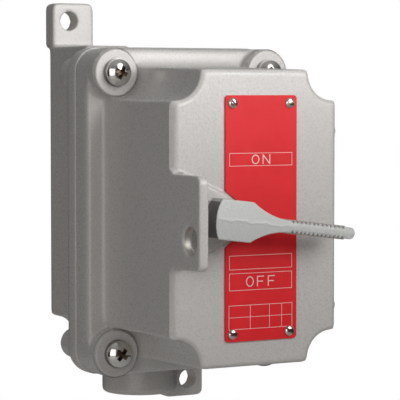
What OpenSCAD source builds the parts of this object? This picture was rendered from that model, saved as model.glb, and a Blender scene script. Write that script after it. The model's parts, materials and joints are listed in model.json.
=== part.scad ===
// Lever operated motor starter in a cast, flanged, wall mounted enclosure.
// Sizes are in millimetres. X points right, Y into the wall and Z up.
// The origin is the middle of the two wall lug holes, on the wall face.

/* [Joint flange] */
// Width of the box flange
flange_w = 99.2; // [97:0.2:110]
// Height of the box flange
flange_h = 146; // [144:1:160]
// Corner radius of the box flange, on the cover screw axes
corner_r = 11.5; // [11:0.1:11.8]
// How far the cover flange is set in from the box flange
flange_step = 0.6; // [0.2:0.1:1]
// Thickness of the box flange
box_flange_t = 10; // [8:0.5:12]
// Thickness of the cover flange
cover_flange_t = 12; // [10:0.5:14]

/* [Back box] */
// Gap between the wall and the back of the box
standoff = 3.7; // [2.5:0.1:6]
// Depth of the box from its back to the joint
box_depth = 50.3; // [48:0.1:60]
// Overhang of the flange past the box side walls
box_set = 10.1; // [9.6:0.1:10.5]
// Overhang of the flange past the box end walls
box_set_z = 9; // [8.5:0.1:10]
// Side wall thickness of the box
box_wall = 5; // [4:0.1:5.5]
// Back wall thickness of the box
box_back_t = 6.3; // [5:0.1:8]
// Radius of the corner scallops at the back of the box
box_scallop_r = 10; // [9.6:0.1:12]
// Diameter of the screw bosses behind the flange
box_boss_d = 14; // [12.5:0.5:16]
// Length of the screw bosses behind the flange
box_boss_l = 16.5; // [12:0.5:18]
// Diameter of the posts that carry the strap
post_d = 13; // [12:0.5:15]

/* [Wall lugs] */
// Width of a lug
lug_w = 21; // [18:0.1:24]
// Thickness of a lug
lug_t = 9.1; // [7:0.1:12]
// Height of the lug hole above the flange edge
lug_reach = 12.8; // [11:0.1:16]
// Distance from the lug hole to the lug edges
lug_edge = 8.3; // [7.5:0.1:10]
// Diameter of the lug hole
lug_hole_d = 8.7; // [6:0.1:10]
// Corner radius of a lug
lug_corner_r = 3; // [1.5:0.5:5]
// Rise of the corner block under a lug over the flange edge
block_rise = 0.8; // [0.2:0.1:2]

/* [Conduit hub] */
// Outside diameter of the hub
hub_d = 35.3; // [32:0.1:36]
// Diameter of the threaded bore
hub_bore_d = 24.6; // [22:0.1:26]
// Diameter of the smooth lip inside the bore
hub_lip_d = 20.9; // [16:0.1:21.5]
// Depth of the threaded bore
hub_thread_l = 20; // [16:0.5:22]
// Length of the hub below the flange edge
hub_drop = 14.9; // [12:0.1:20]
// Distance from the back of the box to the hub axis
hub_set = 15.4; // [15:0.1:20]

/* [Cover] */
// Rise of the cover from the joint to its front face
dome_rise = 74; // [72:0.5:90]
// Overhang of the flange past the cover side walls
dome_set = 9.6; // [9.2:0.1:10]
// Overhang of the flange past the cover end walls, at the front
dome_set_z = 10.4; // [10.2:0.1:11.2]
// Draft of the cover end walls from the flange to the front
dome_draft = 1.6; // [0.4:0.1:2]
// Side wall thickness of the cover
cover_wall = 5; // [4:0.1:5.5]
// Front wall thickness of the cover
front_t = 6; // [5:0.1:8]
// Rise of the screw bosses over the cover flange
boss_rise = 6.6; // [4:0.1:9]
// Radius of the scallops at the screw bosses
scallop_base_r = 11.4; // [11.2:0.1:12]
// Radius of the scallops at the front
scallop_front_r = 12; // [11.6:0.1:14]
// Diameter of the cast nubs on the right wall
nub_d = 3; // [2:0.1:4]
// Rise of the cast nubs over the right wall
nub_rise = 0.8; // [0.4:0.1:1.2]

/* [Padlock ear] */
// Thickness of the ear
ear_t = 4.4; // [3:0.1:5.5]
// Height of the ear
ear_h = 39; // [34:0.5:42]
// Reach of the ear in front of the cover
ear_reach = 23.6; // [22:0.1:28]
// Corner radius of the ear
ear_corner_r = 3.5; // [1.5:0.1:6]
// Diameter of the padlock hole
lock_hole_d = 11.8; // [8:0.1:12.5]
// Distance from the cover to the padlock hole
lock_reach = 15.1; // [14:0.1:15.8]
// Height of the padlock hole below the middle of the ear
lock_drop = 7.3; // [4:0.1:9]
// Height of the pad where it meets the ear
pad_h = 41; // [36:0.5:44]
// Thickness of the pad round the shaft
pad_t = 3.4; // [2:0.1:5]
// Diameter of the pad round the shaft
pad_d = 22.6; // [20:0.1:23]

/* [Cover screws] */
// Diameter of the screw shank
screw_d = 6.3; // [5:0.1:6.6]
// Diameter of the screw head
screw_head_d = 11.8; // [11:0.1:13.5]
// Height of the screw head
screw_head_t = 4.2; // [3.2:0.1:5]
// Diameter of the lock washers
lock_washer_d = 12.3; // [11.5:0.1:13.5]
// Thickness of the lock washers
lock_washer_t = 1.6; // [1:0.1:2]
// Depth of thread in the box
screw_grip = 19; // [14:0.5:20]

/* [Operating lever] */
// Distance of the shaft from the left wall of the cover
shaft_set = 18.5; // [18:0.1:20]
// Height of the shaft over the middle
shaft_z = 0.8; // [0:0.1:1.5]
// Diameter of the shaft
shaft_d = 9.5; // [8:0.1:10]
// Angle of the lever below level, at rest
rest_drop = 7.3; // [0:0.1:12]
// Swing of the lever each way from level
swing = 28; // [24:1:28]
// Thickness of the lever
lever_t = 10; // [8:0.1:12]
// Distance from the cover to the back of the lever
lever_off = 10; // [9:0.1:12]
// Height of the wide end of the lever
lever_h = 16.8; // [15:0.1:18]
// Reach of the wide end behind the shaft
lever_tail = 8.7; // [8:0.1:10]
// Radius of the tail arc
tail_r = 15; // [12:0.5:20]
// Reach of the lever tip from the shaft
lever_len = 58.8; // [54:0.2:62]
// Height of the grip
grip_h = 5; // [4.6:0.1:6]
// Reach at which the shoulder runs out into the grip
shoulder_u = 27.3; // [26:0.1:28]
// Radius of the shoulder
shoulder_r = 32; // [28:1:40]
// Fall of the crowned front face to its edges
crown = 0.8; // [0.2:0.1:1.5]
// Number of ridges on each side of the grip
ridge_n = 14; // [8:1:14]
// Pitch of the ridges
ridge_pitch = 2.05; // [1.6:0.05:2.05]
// Diameter of a ridge
ridge_d = 0.95; // [0.6:0.05:1.2]
// Diameter of the cross pin in lever and shaft
lever_pin_d = 3; // [2:0.1:3.2]

/* [Shaft bearing] */
// Outside diameter of the bushing
bush_d = 13; // [12.5:0.1:15]
// Length of the bushing with its seal
bush_l = 25; // [20:0.5:30]
// Diameter of the boss inside the cover
bush_boss_d = 22; // [19:0.5:24]
// Height of the seal ring
seal_t = 2; // [1.5:0.1:3]
// Thickness of the thrust washer
washer_t = 1.2; // [0.8:0.1:2]
// Thickness of the retaining ring
ring_t = 1; // [0.6:0.1:1.5]
// Diameter of the crank hub
crank_hub_d = 18; // [17:0.5:20]
// Thickness of the crank
crank_t = 6; // [5.6:0.1:6.4]
// Distance from the retaining ring to the crank
crank_gap = 5.9; // [2:0.1:8]
// Height of the two prongs of the crank
prong_h = 3.3; // [2.5:0.1:4]

/* [Nameplate] */
// Width of the plate
plate_w = 34.7; // [32:0.1:38]
// Height of the plate
plate_h = 103.5; // [98:0.5:108]
// Thickness of the plate
plate_t = 0.8; // [0.5:0.1:1]
// Corner radius of the plate
plate_corner_r = 1.5; // [0.5:0.1:3]
// Distance of the plate to the right of the middle
plate_x = 2.1; // [2:0.1:4]
// Gap between the notch and the pad round the shaft
notch_gap = 1.4; // [0.6:0.1:2]
// Distance of the drive screws from the side edges
drive_set = 3.5; // [3:0.1:4]
// Distance of the drive screws from the end edges
drive_set_z = 3.3; // [3:0.1:4]
// Diameter of a drive screw head
drive_head_d = 4.6; // [3.6:0.1:4.8]

/* [Starter] */
// Length of the toggle from its pivot to its ball
toggle_l = 22.5; // [22:0.1:24]
// Diameter of the toggle ball
ball_d = 6; // [5.4:0.1:6.4]
// Diameter of the toggle pivot pin
pivot_d = 3; // [2.4:0.1:3.4]
// Diameter of the toggle hub
toggle_hub_d = 9; // [8.4:0.1:9.4]
// Reach of the toggle arm that drives the contacts
tail_reach = 6.6; // [6.2:0.1:7]
// Width of the base
base_w = 40; // [40:0.5:43]
// Height of the base over the pivot
base_up = 38; // [37:0.5:42]
// Height of the base below the pivot
base_down = 44; // [43:0.5:46]
// Width of the housing
housing_w = 38; // [37:0.5:40]
// Width of the contact chamber
well_w = 24.8; // [24.4:0.1:25.6]
// Depth of the base behind the housing
base_d = 20.4; // [18:0.1:22]
// Thickness of the strap
strap_t = 1.6; // [1:0.1:2.5]
// Height of the strap
strap_h = 22; // [18:0.5:26]
// Diameter of the small terminal screws
term_d = 4; // [3:0.1:4.2]
// Distance from the toggle pivot to the front of the base
pivot_set = 11; // [10:0.1:12]
// Height of the contact chamber over the pivot
well_up = 12; // [11.5:0.1:13]
// Height of the contact chamber below the pivot
well_down = 15; // [14:0.1:16]
// Height of the housing over the pivot
house_up = 18; // [17.5:0.1:20]
// Height of the housing below the pivot
house_down = 26; // [25:0.1:27]
// Front wall thickness of the housing
house_t = 2.3; // [1.8:0.1:3]
// Distance of the toggle pin ends from the housing sides
pin_set = 1.5; // [1:0.1:3]

/* [Contacts] */
// Height of the contact bars below the pivot
contact_drop = 8; // [7.5:0.1:8.5]
// Thickness of the carrier plate
carrier_t = 3; // [2.5:0.1:3.5]
// Wall thickness of the carrier yoke
yoke_t = 2; // [1.6:0.1:2.2]
// Diameter of the pin on the toggle arm
tail_pin_d = 3; // [2.6:0.1:3.2]
// Length of the pin on the toggle arm
tail_w = 10; // [8:0.1:12]
// Thickness of the toggle arm
tail_t = 1.6; // [1.2:0.1:2]
// Length of a contact spring
spring_h = 3; // [2.5:0.1:3.5]
// Outside diameter of a contact spring
spring_d = 4; // [3.6:0.1:4.4]
// Inside diameter of a contact spring
spring_bore_d = 2.6; // [2.4:0.1:2.8]
// Diameter of the guide post of a contact bar
guide_d = 2; // [1.6:0.1:2.2]
// Thickness of a contact bar
bar_t = 1.5; // [1.2:0.1:2]
// Height of a contact bar
bar_w = 5; // [4:0.1:6]
// Thickness of a contact tip
tip_t = 0.8; // [0.6:0.1:1]
// Diameter of a contact tip
tip_d = 2.2; // [1.8:0.1:2.8]
// Thickness of the contact strips
strip_t = 1.2; // [1:0.1:1.5]
// Width of the contact strips
strip_w = 4; // [3:0.1:4.2]
// Diameter of the heater
heater_d = 5; // [4:0.1:5.2]
// Height of the heater
heater_h = 9; // [8:0.1:10]
// Thickness of the heater lugs
heater_lug_t = 1; // [0.6:0.1:1.5]

/* [Clearances] */
// Running clearance of the shaft and the pivot, on the radius
run_gap = 0.05; // [0.02:0.01:0.08]
// Gap between pieces that pass each other
pass_gap = 0.4; // [0.3:0.05:0.5]
// Clearance of the ball in the crank slot, on each side
slot_gap = 0.8; // [0.7:0.05:1]
// Clearance round the cover screw shanks, on the radius
screw_gap = 0.3; // [0.2:0.05:0.5]
// End play of the shaft in its bushing
end_play = 0.3; // [0.1:0.05:0.5]
// Clearance of the toggle arm pin in the carrier yoke
tail_gap = 0.3; // [0.2:0.05:0.4]
// Gap left between made contacts, in place of spring travel
made_gap = 0.15; // [0.1:0.05:0.3]
// How far the toggle ball stands out of the crank
ball_lip = 0.5; // [0.3:0.05:0.8]
// Room round the toggle handle in the housing
handle_room = 0.6; // [0.4:0.1:1]
// Gap between the strap ends and the box
strap_gap = 0.6; // [0.3:0.1:1]

/* [Hidden] */
$fn = 64;

// Run-out of a cutter, or overlap of two forms that make one piece
over = 1;

// Levels along Y, from the wall to the front
box_back_y = -standoff;
box_in_y = box_back_y - box_back_t;
joint_y = box_back_y - box_depth;
flange_back_y = joint_y + box_flange_t;
box_boss_y = flange_back_y + box_boss_l;
hub_y = box_back_y - hub_set;
ledge_y = joint_y - cover_flange_t;
boss_y = ledge_y - boss_rise;
front_y = joint_y - dome_rise;
front_in_y = front_y + front_t;
pad_y = front_y - pad_t;
seal_y = pad_y + seal_t;
bush_in_y = pad_y + bush_l;
washer_y = bush_in_y + end_play;
ring_y = washer_y + washer_t;
crank_y = ring_y + ring_t + crank_gap;
lever_hub_y = pad_y - pass_gap;
lever_back_y = front_y - lever_off;
lever_front_y = lever_back_y - lever_t;
shaft_front_y = lever_front_y + 0.4 * lever_t;
lever_pin_y = (lever_hub_y + lever_back_y) / 2;

// Widths and heights of the castings
screw_x = flange_w / 2 - corner_r;
screw_z = flange_h / 2 - corner_r;
boss_r = corner_r - flange_step;
body_w = flange_w - 2 * box_set;
body_h = flange_h - 2 * box_set_z;
room_w = body_w - 2 * box_wall;
room_h = body_h - 2 * box_wall;
dome_w = flange_w - 2 * dome_set;
dome_h = flange_h - 2 * dome_set_z;
lug_x = body_w / 2 - lug_edge;
lug_z = flange_h / 2 + lug_reach;
block_top = flange_h / 2 + block_rise;
hub_end_z = -flange_h / 2 - hub_drop;
ear_x = -dome_w / 2;

// Operator and toggle
shaft_left = dome_w / 2 - shaft_set;
shaft_x = -shaft_left;
toggle_ratio = 1.09 * shaft_left / toggle_l;
toggle_drop = rest_drop * toggle_ratio;
ball_y = crank_y + ball_d / 2 - ball_lip;
pivot_y = ball_y + toggle_l;
slot_h = ball_d + 2 * slot_gap;
crank_reach = shaft_left / cos(swing) + ball_d / 2 + ball_lip;
ring_groove_d = 0.83 * shaft_d;
handle_d = 0.75 * ball_d;

// Starter levels along Y, with the contacts at half travel
throw = tail_reach * sin(swing * toggle_ratio);
carrier_shift = -tail_reach * sin(toggle_drop);
base_y = pivot_y + pivot_set;
base_back_y = base_y + base_d;
strap_y = base_back_y + strap_t;
yoke_y = pivot_y - tail_pin_d / 2 - tail_gap - yoke_t;
house_in_y = yoke_y - throw - pass_gap;
house_y = house_in_y - house_t;
carrier_y = pivot_y + toggle_hub_d / 2 + pass_gap + throw;
carrier_back_y = carrier_y + carrier_t;
bar_front_y = carrier_back_y + spring_h;
bar_back_y = bar_front_y + bar_t;
fixed_y = bar_back_y + throw + 2 * tip_t + made_gap;
well_y = fixed_y + strip_t;

// Starter sizes across and up, from the toggle pivot
yoke_z = toggle_hub_d / 2 + pass_gap;
yoke_top = tail_reach + tail_pin_d / 2 + tail_gap + yoke_t;
bar_x = 0.283 * well_w;
tip_out = 0.153 * well_w;
outer_tip_x = bar_x + tip_out;
inner_tip_x = bar_x - tip_out;
strip_x = well_w / 2 + 0.78 * strip_w;
post_x = (base_w + room_w) / 4;
base_screw_x = well_w / 3;
top_screw_x = well_w / 3;
top_screw_z = (well_up + house_up) / 2;
low_screw_x = (well_w + housing_w) / 4;
low_screw_z = -(well_down + house_down) / 2;
line_term_z = base_up - 2 * term_d;
load_term_z = -base_down + 3.25 * term_d;
output_z = load_term_z - 1.75 * term_d;
heater_x = 0.26 * base_w;
heater_span = 0.14 * base_w;
heater_lug = 0.75 * term_d;

// Small screws, all in proportion to the terminal screws
term_head_d = 1.6 * term_d;
term_head_t = 0.65 * term_d;
term_l = 2 * term_d;
term_hole_l = 2.25 * term_d;
strap_head_d = 2 * term_d;
strap_head_t = 0.7 * term_d;
strap_grip = 1.75 * term_d;
base_screw_d = 0.75 * term_d;
base_head_t = 0.55 * term_d;
base_head_d = 1.5 * term_d;
house_screw_d = 0.625 * term_d;
house_head_d = 1.2 * term_d;
house_head_t = 0.45 * term_d;
house_grip = 1.9 * term_d;
house_hole_l = 2 * term_d;
heater_head_d = 1.4 * term_d;
heater_head_t = 0.55 * term_d;
ground_d = 1.2 * term_d;
ground_head_d = 2.2 * term_d;
ground_head_t = 0.75 * term_d;
ground_grip = 1.4 * term_d;
ground_boss_d = 2.5 * term_d;
ground_boss_y = box_in_y - term_d;
ground_hole_l = 1.5 * term_d;
ground_x = 0.32 * room_w;
ground_z = -0.32 * room_h;
drive_d = 0.57 * drive_head_d;
drive_l = 0.95 * drive_head_d;
drive_hole_l = 1.05 * drive_head_d;

cast_grey = [0.72, 0.72, 0.70];
steel = [0.75, 0.76, 0.78];
brass = [0.80, 0.65, 0.35];
copper = [0.80, 0.50, 0.35];
phenolic = [0.20, 0.19, 0.18];
plate_red = [0.80, 0.12, 0.16];
rubber = [0.10, 0.10, 0.10];
silver = [0.85, 0.85, 0.85];
ground_green = [0.15, 0.50, 0.25];

// An outline drawn in X and Z, run from y_back to y_front
module run_y(y_back, y_front) {
    translate([0, y_back, 0])
        rotate([90, 0, 0])
            linear_extrude(y_back - y_front)
                children();
}

// A round bar along Y, centred at x and z
module bar_y(x, z, y_back, y_front, d, d_front = 0) {
    translate([x, y_back, z])
        rotate([90, 0, 0])
            cylinder(h = y_back - y_front, d1 = d, d2 = d_front > 0 ? d_front : d);
}

// A block between two corners
module block(x0, x1, y_back, y_front, z0, z1) {
    translate([x0, y_front, z0])
        cube([x1 - x0, y_back - y_front, z1 - z0]);
}

// A rectangle with true round corners
module round_rect(w, h, r) {
    square([w - 2 * r, h], center = true);
    square([w, h - 2 * r], center = true);
    for (sx = [-1, 1], sz = [-1, 1])
        translate([sx * (w / 2 - r), sz * (h / 2 - r)])
            circle(r);
}

// Children at the four cover screws
module at_screws() {
    for (sx = [-1, 1], sz = [-1, 1])
        translate([sx * screw_x, 0, sz * screw_z])
            children();
}

// Children in the frame of the lever: X along the lever, at the shaft
module at_lever() {
    translate([shaft_x, 0, shaft_z])
        rotate([0, rest_drop, 0])
            children();
}

// Children in the frame of the toggle: Y from ball to tail, at its pivot
module at_toggle() {
    translate([0, pivot_y, shaft_z])
        rotate([toggle_drop, 0, 0])
            children();
}

// Children at the height of the toggle pivot
module at_starter() {
    translate([0, 0, shaft_z])
        children();
}

// A round headed screw along Y: head in front of y_seat, shank behind it
module screw_y(x, z, y_seat, d, head_d, head_t, l) {
    bar_y(x, z, y_seat + l, y_seat - head_t / 2, d);
    difference() {
        bar_y(x, z, y_seat, y_seat - head_t, head_d);
        translate([x, y_seat - head_t, z])
            cube([head_d + over, 0.7 * head_t, 0.16 * head_d], center = true);
    }
}

// The hollow of the box or the cover, without the corners that the screws take
module room(w, h, y_back, y_front, corner) {
    difference() {
        run_y(y_back, y_front)
            square([w, h], center = true);
        at_screws()
            bar_y(0, 0, y_back + over, y_front - over, 2 * corner);
    }
}

// One wall lug, at the upper left, with the block that carries it
module lug() {
    w0 = -body_w / 2;
    block(w0, w0 + lug_w, box_back_y, flange_back_y - over, 0, block_top);
    lug_top = lug_z + lug_edge;
    lug_foot = block_top - over;
    run_y(0, -lug_t)
        translate([w0 + lug_w / 2, 0])
            difference() {
                translate([0, (lug_top + lug_foot) / 2 - lug_corner_r])
                    round_rect(lug_w, lug_top - lug_foot + 2 * lug_corner_r, lug_corner_r);
                translate([-lug_w, lug_foot - 4 * lug_corner_r])
                    square([2 * lug_w, 4 * lug_corner_r]);
            }
}

// One post that carries the strap, with its web to the side wall
module strap_post() {
    bar_y(post_x, shaft_z, box_in_y + over, strap_y, post_d);
    block(post_x, room_w / 2 + over, box_in_y + over, strap_y, shaft_z - post_d / 4, shaft_z + post_d / 4);
}

module back_box() {
    color(cast_grey)
        difference() {
            union() {
                run_y(flange_back_y, joint_y)
                    round_rect(flange_w, flange_h, corner_r);
                difference() {
                    run_y(box_back_y, flange_back_y - over)
                        square([body_w, body_h], center = true);
                    at_screws()
                        bar_y(0, 0, box_back_y + over, flange_back_y, 2 * box_scallop_r, 2 * corner_r);
                }
                lug();
                rotate([0, 180, 0])
                    lug();
                at_screws()
                    bar_y(0, 0, box_boss_y, flange_back_y - over, box_boss_d);
                translate([0, hub_y, hub_end_z])
                    cylinder(h = -hub_end_z - room_h / 2, d = hub_d);
            }
            difference() {
                room(room_w, room_h, box_in_y, joint_y - over, box_scallop_r + box_wall);
                for (m = [0, 1])
                    mirror([m, 0, 0])
                        strap_post();
                bar_y(ground_x, ground_z, box_in_y + over, ground_boss_y, ground_boss_d);
            }
            for (s = [-1, 1])
                bar_y(-s * lug_x, s * lug_z, over, -lug_t - over, lug_hole_d);
            translate([0, hub_y, hub_end_z - over])
                cylinder(h = hub_thread_l + over, d = hub_bore_d);
            translate([0, hub_y, hub_end_z])
                cylinder(h = -hub_end_z - room_h / 2 + over, d = hub_lip_d);
            at_screws()
                bar_y(0, 0, joint_y + screw_grip, joint_y - over, screw_d);
            for (sx = [-1, 1])
                bar_y(sx * post_x, shaft_z, strap_y + strap_grip + over, strap_y - over, term_d);
            bar_y(ground_x, ground_z, ground_boss_y + ground_hole_l, ground_boss_y - over, ground_d);
        }
}

// Where a line from the ear root at pad_h touches the round pad
module pad_outline() {
    root = [ear_x + ear_t - over, pad_h / 2];
    for (s = [-1, 1]) {
        dx = root[0] - shaft_x;
        dz = s * root[1] - shaft_z;
        far = sqrt(dx * dx + dz * dz);
        touch = atan2(dz, dx) - s * acos(pad_d / 2 / far);
        polygon([
            [root[0], 0],
            [root[0], s * root[1]],
            [shaft_x + pad_d / 2 * cos(touch), shaft_z + pad_d / 2 * sin(touch)],
            [shaft_x, shaft_z]
        ]);
    }
    translate([shaft_x, shaft_z])
        circle(d = pad_d);
}

// The padlock ear, in the plane of the left wall
module ear() {
    translate([ear_x, front_y, 0])
        rotate([90, 0, 90])
            linear_extrude(ear_t)
                difference() {
                    translate([ear_corner_r + over - ear_reach / 2, 0])
                        round_rect(ear_reach + 2 * (ear_corner_r + over), ear_h, ear_corner_r);
                    translate([0, -ear_h])
                        square([2 * (ear_corner_r + over) + over, 2 * ear_h]);
                    translate([-lock_reach, -lock_drop])
                        circle(d = lock_hole_d);
                }
}

// The ear and the pad that stiffens it, cast on the front of the cover
module padlock_ear() {
    color(cast_grey)
        difference() {
            union() {
                ear();
                run_y(front_y, pad_y)
                    pad_outline();
            }
            bar_y(shaft_x, shaft_z, front_y + over, pad_y - over, bush_d);
        }
}

module cover() {
    color(cast_grey)
        difference() {
            union() {
                run_y(joint_y, ledge_y)
                    round_rect(flange_w - 2 * flange_step, flange_h - 2 * flange_step, boss_r);
                difference() {
                    translate([-dome_w / 2, 0, 0])
                        rotate([90, 0, 90])
                            linear_extrude(dome_w)
                                polygon([
                                    [ledge_y + over, -dome_h / 2 - dome_draft],
                                    [ledge_y + over, dome_h / 2 + dome_draft],
                                    [front_y, dome_h / 2],
                                    [front_y, -dome_h / 2]
                                ]);
                    at_screws()
                        bar_y(0, 0, boss_y, front_y, 2 * scallop_base_r, 2 * scallop_front_r);
                }
                at_screws()
                    bar_y(0, 0, ledge_y + over, boss_y, 2 * boss_r);
                for (z = [0.29 * dome_h, -0.31 * dome_h])
                    translate([dome_w / 2 - over, front_y + nub_d, z])
                        rotate([0, 90, 0])
                            cylinder(h = over + nub_rise, d = nub_d);
            }
            difference() {
                room(dome_w - 2 * cover_wall, dome_h - 2 * cover_wall, joint_y + over, front_in_y,
                    scallop_front_r + cover_wall);
                bar_y(shaft_x, shaft_z, bush_in_y, front_in_y - over, bush_boss_d);
            }
            bar_y(shaft_x, shaft_z, bush_in_y + over, front_y - over, bush_d);
            at_screws()
                bar_y(0, 0, joint_y + over, boss_y - over, screw_d + 2 * screw_gap);
            at_drive_screws()
                bar_y(0, 0, front_y + drive_hole_l, front_y - over, drive_d);
        }
}

module cover_screws() {
    seat_y = boss_y - lock_washer_t;
    crown_h = 0.6 * screw_head_t;
    crown_r = (screw_head_d * screw_head_d / 4 + crown_h * crown_h) / (2 * crown_h);
    color(steel)
        at_screws() {
            bar_y(0, 0, joint_y + screw_grip - over, seat_y - 0.3 * screw_head_t, screw_d);
            difference() {
                intersection() {
                    bar_y(0, 0, seat_y, seat_y - screw_head_t - over, screw_head_d);
                    translate([0, seat_y - screw_head_t + crown_r, 0])
                        sphere(crown_r);
                }
                for (a = [45, 135])
                    translate([0, seat_y - screw_head_t, 0])
                        rotate([0, a, 0])
                            cube([0.56 * screw_head_d, screw_head_t, 0.15 * screw_head_d], center = true);
            }
        }
}

// Split lock washers under the heads of the cover screws
module lock_washers() {
    color(steel)
        at_screws()
            difference() {
                bar_y(0, 0, boss_y, boss_y - lock_washer_t, lock_washer_d);
                bar_y(0, 0, boss_y + over, boss_y - lock_washer_t - over, screw_d + 2 * screw_gap);
                block(0, lock_washer_d, boss_y + over, boss_y - lock_washer_t - over,
                    -0.04 * lock_washer_d, 0.04 * lock_washer_d);
            }
}

// Children at the four drive screws of the nameplate
module at_drive_screws() {
    for (sx = [-1, 1], sz = [-1, 1])
        translate([plate_x + sx * (plate_w / 2 - drive_set), 0, sz * (plate_h / 2 - drive_set_z)])
            children();
}

module nameplate() {
    left = plate_x - plate_w / 2;
    notch_in = shaft_x + pad_d / 2 + 0.7 * notch_gap - left;
    notch_h = shaft_z + (pad_d / 2 + notch_gap) / 0.8 - 0.75 * (left - shaft_x);
    notch_end = notch_h - 0.75 * notch_in;
    color(plate_red)
        difference() {
            run_y(front_y, front_y - plate_t)
                difference() {
                    translate([plate_x, 0])
                        round_rect(plate_w, plate_h, plate_corner_r);
                    polygon([
                        [left - over, notch_h + 0.75 * over],
                        [left + notch_in, notch_end],
                        [left + notch_in, -notch_end],
                        [left - over, -notch_h - 0.75 * over]
                    ]);
                }
            at_drive_screws()
                bar_y(0, 0, front_y + over, front_y - plate_t - over, drive_d);
        }
}

module nameplate_screws() {
    head_t = 0.3 * drive_head_d;
    cap_r = (drive_head_d * drive_head_d / 4 + head_t * head_t) / (2 * head_t);
    color(steel)
        at_drive_screws() {
            bar_y(0, 0, front_y + drive_l, front_y - plate_t - 0.5 * head_t, drive_d);
            intersection() {
                bar_y(0, 0, front_y - plate_t, front_y - plate_t - head_t - over, drive_head_d);
                translate([0, front_y - plate_t - head_t + cap_r, 0])
                    sphere(cap_r);
            }
        }
}

// Front outline of the lever, without ridges
module lever_outline() {
    tail_c = tail_r - lever_tail;
    difference() {
        intersection() {
            translate([-lever_tail, -lever_h / 2])
                square([lever_tail + shoulder_u, lever_h]);
            translate([tail_c, 0])
                union() {
                    circle(tail_r);
                    translate([0, -lever_h / 2])
                        square([shoulder_u, lever_h]);
                }
        }
        for (s = [-1, 1])
            translate([shoulder_u, s * (grip_h / 2 + shoulder_r)])
                circle(shoulder_r, $fn = 128);
    }
    translate([shoulder_u - over, -grip_h / 2])
        square([lever_len - grip_h / 2 - shoulder_u + over, grip_h]);
    translate([lever_len - grip_h / 2, 0])
        circle(d = grip_h);
}

module operating_lever() {
    ridge_start = lever_len - grip_h - (ridge_n - 1) * ridge_pitch;
    color(cast_grey)
        at_lever()
            difference() {
                union() {
                    intersection() {
                        run_y(lever_back_y, lever_front_y)
                            lever_outline();
                        translate([-lever_tail - over, 0, 0])
                            rotate([90, 0, 90])
                                linear_extrude(lever_len + lever_tail + 2 * over)
                                    polygon([
                                        [lever_back_y + over, -lever_h],
                                        [lever_back_y + over, lever_h],
                                        [lever_front_y + 2 * crown, lever_h],
                                        [lever_front_y, 0],
                                        [lever_front_y + 2 * crown, -lever_h]
                                    ]);
                    }
                    bar_y(0, 0, lever_hub_y, lever_back_y - over, lever_h - pass_gap);
                    for (i = [0 : ridge_n - 1], s = [-1, 1])
                        bar_y(ridge_start + i * ridge_pitch, s * grip_h / 2, lever_back_y,
                            lever_front_y + 1.4 * crown, ridge_d);
                }
                bar_y(0, 0, lever_hub_y + over, shaft_front_y, shaft_d);
                translate([0, lever_pin_y, -lever_h])
                    cylinder(h = 2 * lever_h, d = lever_pin_d);
            }
}

module lever_pin() {
    color(steel)
        at_lever()
            translate([0, lever_pin_y, -0.46 * lever_h])
                cylinder(h = 0.92 * lever_h, d = lever_pin_d);
}

module operator_shaft() {
    color(steel)
        at_lever()
            difference() {
                union() {
                    bar_y(0, 0, ring_y, shaft_front_y, shaft_d);
                    bar_y(0, 0, ring_y + ring_t + over, ring_y - over, ring_groove_d);
                    bar_y(0, 0, crank_y + crank_t + end_play, ring_y + ring_t, shaft_d);
                }
                translate([0, lever_pin_y, -lever_h])
                    cylinder(h = 2 * lever_h, d = lever_pin_d);
            }
}

module shaft_bushing() {
    color(brass)
        difference() {
            bar_y(shaft_x, shaft_z, bush_in_y, seal_y, bush_d);
            bar_y(shaft_x, shaft_z, bush_in_y + over, seal_y - over, shaft_d + 2 * run_gap);
        }
}

module shaft_seal() {
    color(rubber)
        difference() {
            bar_y(shaft_x, shaft_z, seal_y, pad_y, bush_d);
            bar_y(shaft_x, shaft_z, seal_y + over, pad_y - over, shaft_d + 2 * run_gap);
        }
}

module thrust_washer() {
    color(steel)
        at_lever()
            difference() {
                bar_y(0, 0, ring_y, washer_y, 1.84 * shaft_d);
                bar_y(0, 0, ring_y + over, washer_y - over, shaft_d);
            }
}

module retaining_ring() {
    color(steel)
        at_lever()
            difference() {
                bar_y(0, 0, ring_y + ring_t, ring_y, 1.42 * shaft_d);
                bar_y(0, 0, ring_y + ring_t + over, ring_y - over, ring_groove_d);
                block(-shaft_d, 0, ring_y + ring_t + over, ring_y - over, -0.16 * shaft_d, 0.16 * shaft_d);
            }
}

module inner_crank() {
    color(steel)
        at_lever()
            difference() {
                union() {
                    bar_y(0, 0, crank_y + crank_t, crank_y, crank_hub_d);
                    block(0, crank_reach, crank_y + crank_t, crank_y,
                        -slot_h / 2 - prong_h, slot_h / 2 + prong_h);
                }
                block(shaft_left - over, crank_reach + over, crank_y + crank_t + over, crank_y - over,
                    -slot_h / 2, slot_h / 2);
                bar_y(shaft_left - over, 0, crank_y + crank_t + over, crank_y - over, slot_h);
                bar_y(0, 0, crank_y + crank_t + over, crank_y - over, shaft_d);
                translate([-crank_hub_d, crank_y + crank_t / 2, 0])
                    rotate([0, 90, 0])
                        cylinder(h = crank_hub_d, d = term_d);
            }
}

module crank_screw() {
    color(steel)
        at_lever()
            difference() {
                translate([-crank_hub_d / 2, crank_y + crank_t / 2, 0])
                    rotate([0, 90, 0])
                        cylinder(h = (crank_hub_d - shaft_d) / 2, d = term_d);
                translate([-crank_hub_d / 2, crank_y + crank_t / 2, 0])
                    cube([0.5 * term_d, term_d + over, 0.2 * term_d], center = true);
                bar_y(0, 0, crank_y + crank_t, crank_y, shaft_d);
            }
}

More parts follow.
